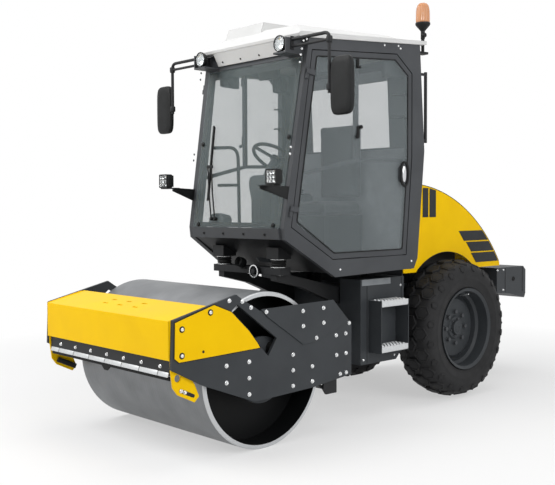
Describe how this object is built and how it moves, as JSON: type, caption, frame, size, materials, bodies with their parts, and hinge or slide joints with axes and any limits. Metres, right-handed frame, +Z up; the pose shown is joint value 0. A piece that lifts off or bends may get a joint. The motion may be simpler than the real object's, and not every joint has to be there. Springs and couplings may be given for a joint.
{
  "type": "single drum roller",
  "caption": "Articulated drum soil compactor with a smooth steel drum, closed cab and rubber-tyred rear wheels; steering, frame tilt, drum, wheels, doors and hood move.",
  "frame": {"origin": "on the ground, at the middle of the machine's length and width", "axes": "+X forward to the drum, +Y to the machine's left, +Z up"},
  "size_m": [4.1, 2.077, 3.0173],
  "materials": {
    "yellow_paint": "gloss enamel",
    "dark_paint": "satin powder coat",
    "black_paint": "satin powder coat",
    "drum_steel": "rolled and worn bare steel",
    "tread_steel": "galvanised, serrated",
    "rod_chrome": "hard chrome",
    "roof_plastic": "moulded, painted white",
    "black_plastic": "moulded, grained",
    "glass": "grey tinted safety glass",
    "rubber": "moulded",
    "tyre": "moulded",
    "seat_cloth": "woven seat cloth",
    "amber_lens": "clear amber",
    "lamp": "clear lens in a black housing"
  },
  "bodies": {
    "rear": {"rear_frame": "dark_paint", "side_boxes": "dark_paint", "step_brackets": "dark_paint", "step_treads": "tread_steel", "axle": "black_paint", "engine": "black_paint", "tail_box": "dark_paint", "hood_stops": "rubber", "horn": "black_paint", "grab_tubes": "black_paint", "cab_arms": "black_paint", "cab_mounts": "rubber", "cab_floor": "dark_paint", "cab_sides": "dark_paint", "cab_back": "dark_paint", "cab_front": "dark_paint", "cab_roof": "roof_plastic", "windscreen": "glass", "back_glass": "glass", "seat_base": "black_plastic", "seat_cushion": "seat_cloth", "seat_backrest": "seat_cloth", "console": "black_plastic", "work_lamps": "lamp", "head_lamps": "lamp", "beacon_base": "black_plastic", "beacon_dome": "amber_lens", "mirror_arms": "black_paint", "mirrors": "black_plastic"},
    "steering_wheel": {"steering_wheel": "black_plastic"},
    "knuckle": {"knuckle": "dark_paint"},
    "cylinder_barrel": {"steer_barrel": "black_paint"},
    "cylinder_rod": {"steer_rod": "rod_chrome"},
    "front": {"side_plates": "dark_paint", "cover_plates": "dark_paint", "side_panels": "yellow_paint", "front_beam": "yellow_paint", "rear_beam": "dark_paint", "drum_carriers": "dark_paint", "drum_buffers": "rubber", "front_scraper": "black_paint", "rear_scraper": "black_paint"},
    "drum": {"drum_shell": "drum_steel", "drum_heads": "drum_steel"},
    "wheel_left": {"tyre_left": "tyre", "rim_left": "dark_paint"},
    "wheel_right": {"tyre_right": "tyre", "rim_right": "dark_paint"},
    "door_left": {"door_left": "dark_paint", "door_glass_left": "glass"},
    "door_right": {"door_right": "dark_paint", "door_glass_right": "glass"},
    "hood": {"hood": "yellow_paint", "hood_slats": "black_paint"}
  },
  "joints": [
    {"name": "steer", "type": "hinge", "parent": "rear", "child": "knuckle", "pos_m": [0.26, 0, 0.5], "axis": [0, 0, 1], "range_deg": [-34, 34]},
    {"name": "frame_tilt", "type": "hinge", "parent": "knuckle", "child": "front", "pos_m": [0.46, 0, 0.5], "axis": [1, 0, 0], "range_deg": [-10, 10]},
    {"name": "drum_spin", "type": "hinge", "parent": "front", "child": "drum", "pos_m": [1.31, 0, 0.491], "axis": [0, 1, 0], "continuous": true},
    {"name": "wheel_spin_left", "type": "hinge", "parent": "rear", "child": "wheel_left", "pos_m": [-0.83, 0.55, 0.545], "axis": [0, 1, 0], "continuous": true},
    {"name": "wheel_spin_right", "type": "hinge", "parent": "rear", "child": "wheel_right", "pos_m": [-0.83, -0.55, 0.545], "axis": [0, 1, 0], "continuous": true},
    {"name": "steering_wheel_turn", "type": "hinge", "parent": "rear", "child": "steering_wheel", "pos_m": [0.57, 0, 1.86], "axis": [-0.5736, 0, 0.8192], "continuous": true},
    {"name": "door_left_swing", "type": "hinge", "parent": "rear", "child": "door_left", "pos_m": [0.94221, 0.5306, 1.372], "axis": [0.1439, -0.0235, -0.9893], "range_deg": [0, 70]},
    {"name": "door_right_swing", "type": "hinge", "parent": "rear", "child": "door_right", "pos_m": [0.94221, -0.5306, 1.372], "axis": [-0.1439, -0.0235, 0.9893], "range_deg": [0, 70]},
    {"name": "hood_lift", "type": "hinge", "parent": "rear", "child": "hood", "pos_m": [-0.326, 0, 1.65], "axis": [0, 1, 0], "range_deg": [0, 50]},
    {"name": "barrel_swing", "type": "hinge", "parent": "rear", "child": "cylinder_barrel", "pos_m": [-0.26, 0.21, 0.5], "axis": [0, 0, 1], "range_deg": [-5, 5]},
    {"name": "rod_slide", "type": "slide", "parent": "cylinder_barrel", "child": "cylinder_rod", "axis": [1, 0, 0], "range_m": [-0.122, 0.122]}
  ],
  "couplings": [
    {"joint": "barrel_swing", "follows": "steer", "ratio": 0.1415},
    {"joint": "rod_slide", "follows": "steer", "m_per_rad": -0.2024}
  ]
}
